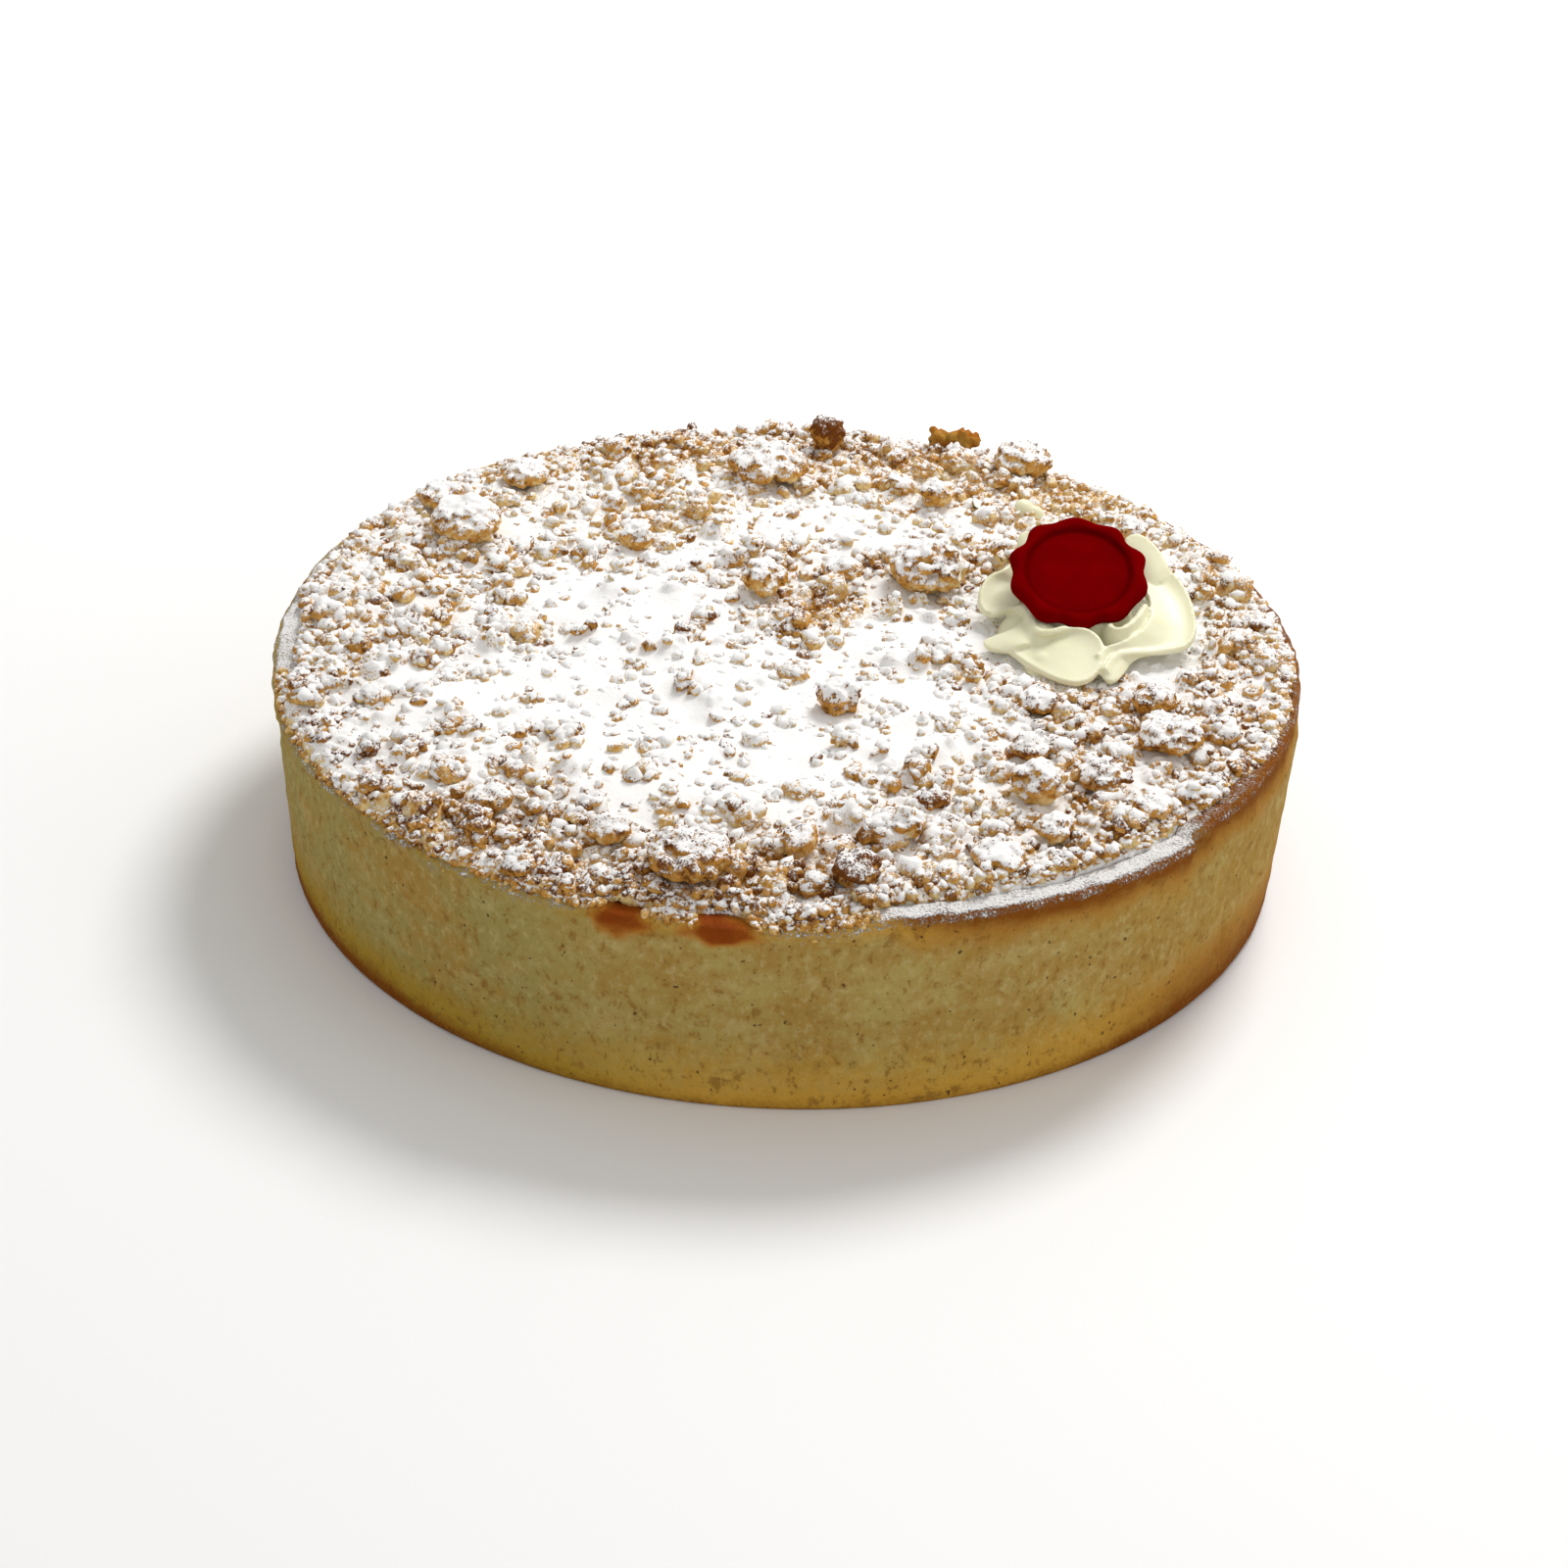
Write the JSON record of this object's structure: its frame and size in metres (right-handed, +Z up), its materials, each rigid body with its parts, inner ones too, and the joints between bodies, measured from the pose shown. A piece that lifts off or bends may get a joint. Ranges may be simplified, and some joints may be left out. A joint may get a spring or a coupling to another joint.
{
  "type": "crumble cake",
  "caption": "Deep round shortcrust cake topped with sugared crumble, with a piped cream ruffle and a red scalloped seal.",
  "frame": {"origin": "centre of the flat base, on the surface the cake stands on", "axes": "+Z up, -Y towards the front, +X to the right of the front"},
  "size_m": [0.24, 0.24, 0.0729],
  "materials": {
    "pastry": "baked shortcrust, dull",
    "crumble": "baked crumble under icing sugar, dull",
    "clump": "golden baked crumble, dull",
    "cream": "smooth piped cream, satin",
    "seal": "smooth dark red sweet, satin"
  },
  "bodies": {
    "root": {"pastry_case": "pastry", "crumble": "crumble", "clump_01": "clump", "clump_02": "clump", "clump_03": "clump", "clump_04": "clump", "clump_05": "clump", "clump_06": "clump", "clump_07": "clump", "clump_08": "clump", "clump_09": "clump", "clump_10": "clump", "clump_11": "clump", "clump_12": "clump", "clump_13": "clump", "clump_14": "clump", "clump_15": "clump", "clump_16": "clump", "clump_17": "clump", "clump_18": "clump", "clump_19": "clump", "clump_20": "clump", "clump_21": "clump", "clump_22": "clump", "clump_23": "clump", "clump_24": "clump", "clump_25": "clump", "clump_26": "clump", "clump_27": "clump", "clump_28": "clump", "flake": "pastry", "cream_ruffle": "cream", "seal": "seal"}
  },
  "joints": []
}
